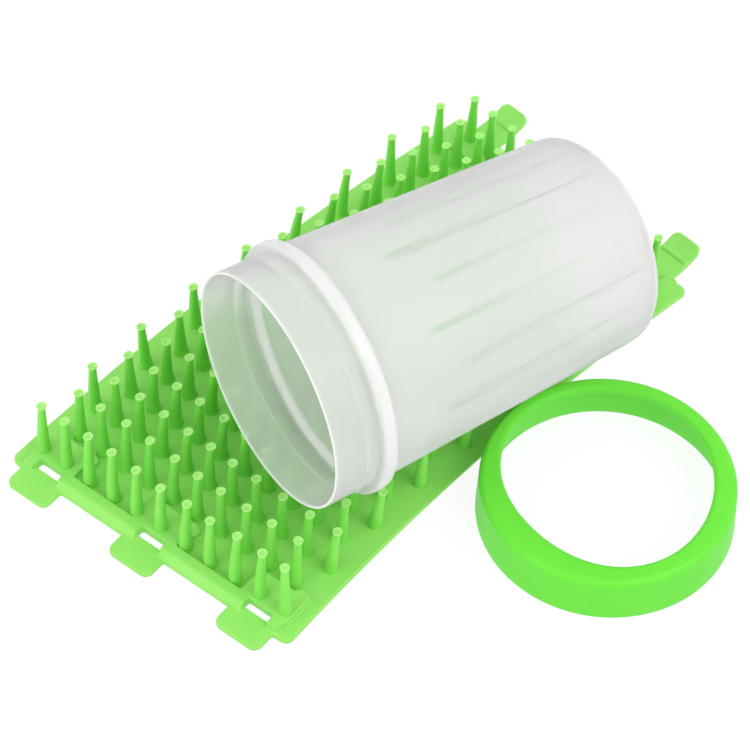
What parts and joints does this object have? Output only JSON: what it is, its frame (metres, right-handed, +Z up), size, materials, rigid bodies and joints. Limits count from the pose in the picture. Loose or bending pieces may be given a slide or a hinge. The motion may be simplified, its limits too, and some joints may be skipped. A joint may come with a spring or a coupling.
{
  "type": "paw washer cup",
  "caption": "Pet paw washer taken apart: a frosted cup lying on its unrolled soft bristle mat, with the soft neck ring beside it. The mat rolls up into the cup's liner.",
  "frame": {"origin": "centre of the bristle mat's underside, on the surface that everything stands on", "axes": "+Y along the mat's long middle line, towards its long tabs; +Z up, the way the bristles point; +X across the mat, towards the neck ring"},
  "size_m": [0.2105, 0.253, 0.1128],
  "materials": {
    "cup": "frosted translucent moulded plastic",
    "mat": "satin light green silicone rubber",
    "ring": "satin bright green silicone rubber"
  },
  "bodies": {
    "mat_row_01": {"mat_row_01": "mat"},
    "mat_row_02": {"mat_row_02": "mat"},
    "mat_row_03": {"mat_row_03": "mat"},
    "mat_row_04": {"mat_row_04": "mat"},
    "mat_row_05": {"mat_row_05": "mat"},
    "mat_row_06": {"mat_row_06": "mat"},
    "mat_row_07": {"mat_row_07": "mat"},
    "mat_row_08": {"mat_row_08": "mat"},
    "mat_row_09": {"mat_row_09": "mat"},
    "mat_row_10": {"mat_row_10": "mat"},
    "mat_row_11": {"mat_row_11": "mat"},
    "mat_row_12": {"mat_row_12": "mat"},
    "mat_row_13": {"mat_row_13": "mat"},
    "mat_row_14": {"mat_row_14": "mat"},
    "mat_row_15": {"mat_row_15": "mat"},
    "mat_row_16": {"mat_row_16": "mat"},
    "mat_row_17": {"mat_row_17": "mat"},
    "mat_row_18": {"mat_row_18": "mat"},
    "cup": {"cup": "cup"},
    "neck_ring": {"neck_ring": "ring"}
  },
  "joints": [
    {"name": "cup_lift", "type": "slide", "parent": "mat_row_10", "child": "cup", "axis": [0, 0, 1], "range_m": [0, 0.16]},
    {"name": "ring_aside", "type": "slide", "parent": "mat_row_10", "child": "neck_ring", "axis": [1, 0, 0], "range_m": [0, 0.1]},
    {"name": "bend_10", "type": "hinge", "parent": "mat_row_10", "child": "mat_row_11", "pos_m": [0.00008, 0.01285, 0], "axis": [0.9999, -0.0121, 0], "range_deg": [0, 17]},
    {"name": "bend_11", "type": "hinge", "parent": "mat_row_11", "child": "mat_row_12", "pos_m": [0.00029, 0.02475, 0], "axis": [0.9997, -0.0232, 0], "range_deg": [0, 17]},
    {"name": "bend_12", "type": "hinge", "parent": "mat_row_12", "child": "mat_row_13", "pos_m": [0.00063, 0.03664, 0], "axis": [0.9994, -0.0344, 0], "range_deg": [0, 17]},
    {"name": "bend_13", "type": "hinge", "parent": "mat_row_13", "child": "mat_row_14", "pos_m": [0.00111, 0.04853, 0], "axis": [0.999, -0.0455, 0], "range_deg": [0, 17]},
    {"name": "bend_14", "type": "hinge", "parent": "mat_row_14", "child": "mat_row_15", "pos_m": [0.00171, 0.06042, 0], "axis": [0.9984, -0.0567, 0], "range_deg": [0, 17]},
    {"name": "bend_15", "type": "hinge", "parent": "mat_row_15", "child": "mat_row_16", "pos_m": [0.00245, 0.07229, 0], "axis": [0.9977, -0.0678, 0], "range_deg": [0, 17]},
    {"name": "bend_16", "type": "hinge", "parent": "mat_row_16", "child": "mat_row_17", "pos_m": [0.00333, 0.08416, 0], "axis": [0.9969, -0.079, 0], "range_deg": [0, 17]},
    {"name": "bend_17", "type": "hinge", "parent": "mat_row_17", "child": "mat_row_18", "pos_m": [0.00433, 0.09602, 0], "axis": [0.9959, -0.0901, 0], "range_deg": [0, 17]},
    {"name": "bend_09", "type": "hinge", "parent": "mat_row_10", "child": "mat_row_09", "pos_m": [0, 0.00095, 0], "axis": [-1, 0.0009, 0], "range_deg": [0, 17]},
    {"name": "bend_08", "type": "hinge", "parent": "mat_row_09", "child": "mat_row_08", "pos_m": [0.00006, -0.01095, 0], "axis": [-0.9999, -0.0103, 0], "range_deg": [0, 17]},
    {"name": "bend_07", "type": "hinge", "parent": "mat_row_08", "child": "mat_row_07", "pos_m": [0.00024, -0.02285, 0], "axis": [-0.9998, -0.0214, 0], "range_deg": [0, 17]},
    {"name": "bend_06", "type": "hinge", "parent": "mat_row_07", "child": "mat_row_06", "pos_m": [0.00057, -0.03474, 0], "axis": [-0.9995, -0.0326, 0], "range_deg": [0, 17]},
    {"name": "bend_05", "type": "hinge", "parent": "mat_row_06", "child": "mat_row_05", "pos_m": [0.00102, -0.04664, 0], "axis": [-0.999, -0.0437, 0], "range_deg": [0, 17]},
    {"name": "bend_04", "type": "hinge", "parent": "mat_row_05", "child": "mat_row_04", "pos_m": [0.00161, -0.05852, 0], "axis": [-0.9985, -0.0549, 0], "range_deg": [0, 17]},
    {"name": "bend_03", "type": "hinge", "parent": "mat_row_04", "child": "mat_row_03", "pos_m": [0.00233, -0.0704, 0], "axis": [-0.9978, -0.066, 0], "range_deg": [0, 17]},
    {"name": "bend_02", "type": "hinge", "parent": "mat_row_03", "child": "mat_row_02", "pos_m": [0.00318, -0.08227, 0], "axis": [-0.997, -0.0772, 0], "range_deg": [0, 17]},
    {"name": "bend_01", "type": "hinge", "parent": "mat_row_02", "child": "mat_row_01", "pos_m": [0.00416, -0.09413, 0], "axis": [-0.9961, -0.0883, 0], "range_deg": [0, 17]}
  ],
  "couplings": [
    {"joint": "bend_10", "follows": "cup_lift", "rad_per_m": 1.8544},
    {"joint": "bend_11", "follows": "cup_lift", "rad_per_m": 1.8544},
    {"joint": "bend_12", "follows": "cup_lift", "rad_per_m": 1.8544},
    {"joint": "bend_13", "follows": "cup_lift", "rad_per_m": 1.8544},
    {"joint": "bend_14", "follows": "cup_lift", "rad_per_m": 1.8544},
    {"joint": "bend_15", "follows": "cup_lift", "rad_per_m": 1.8544},
    {"joint": "bend_16", "follows": "cup_lift", "rad_per_m": 1.8544},
    {"joint": "bend_17", "follows": "cup_lift", "rad_per_m": 1.8544},
    {"joint": "bend_09", "follows": "cup_lift", "rad_per_m": 1.8544},
    {"joint": "bend_08", "follows": "cup_lift", "rad_per_m": 1.8544},
    {"joint": "bend_07", "follows": "cup_lift", "rad_per_m": 1.8544},
    {"joint": "bend_06", "follows": "cup_lift", "rad_per_m": 1.8544},
    {"joint": "bend_05", "follows": "cup_lift", "rad_per_m": 1.8544},
    {"joint": "bend_04", "follows": "cup_lift", "rad_per_m": 1.8544},
    {"joint": "bend_03", "follows": "cup_lift", "rad_per_m": 1.8544},
    {"joint": "bend_02", "follows": "cup_lift", "rad_per_m": 1.8544},
    {"joint": "bend_01", "follows": "cup_lift", "rad_per_m": 1.8544}
  ]
}
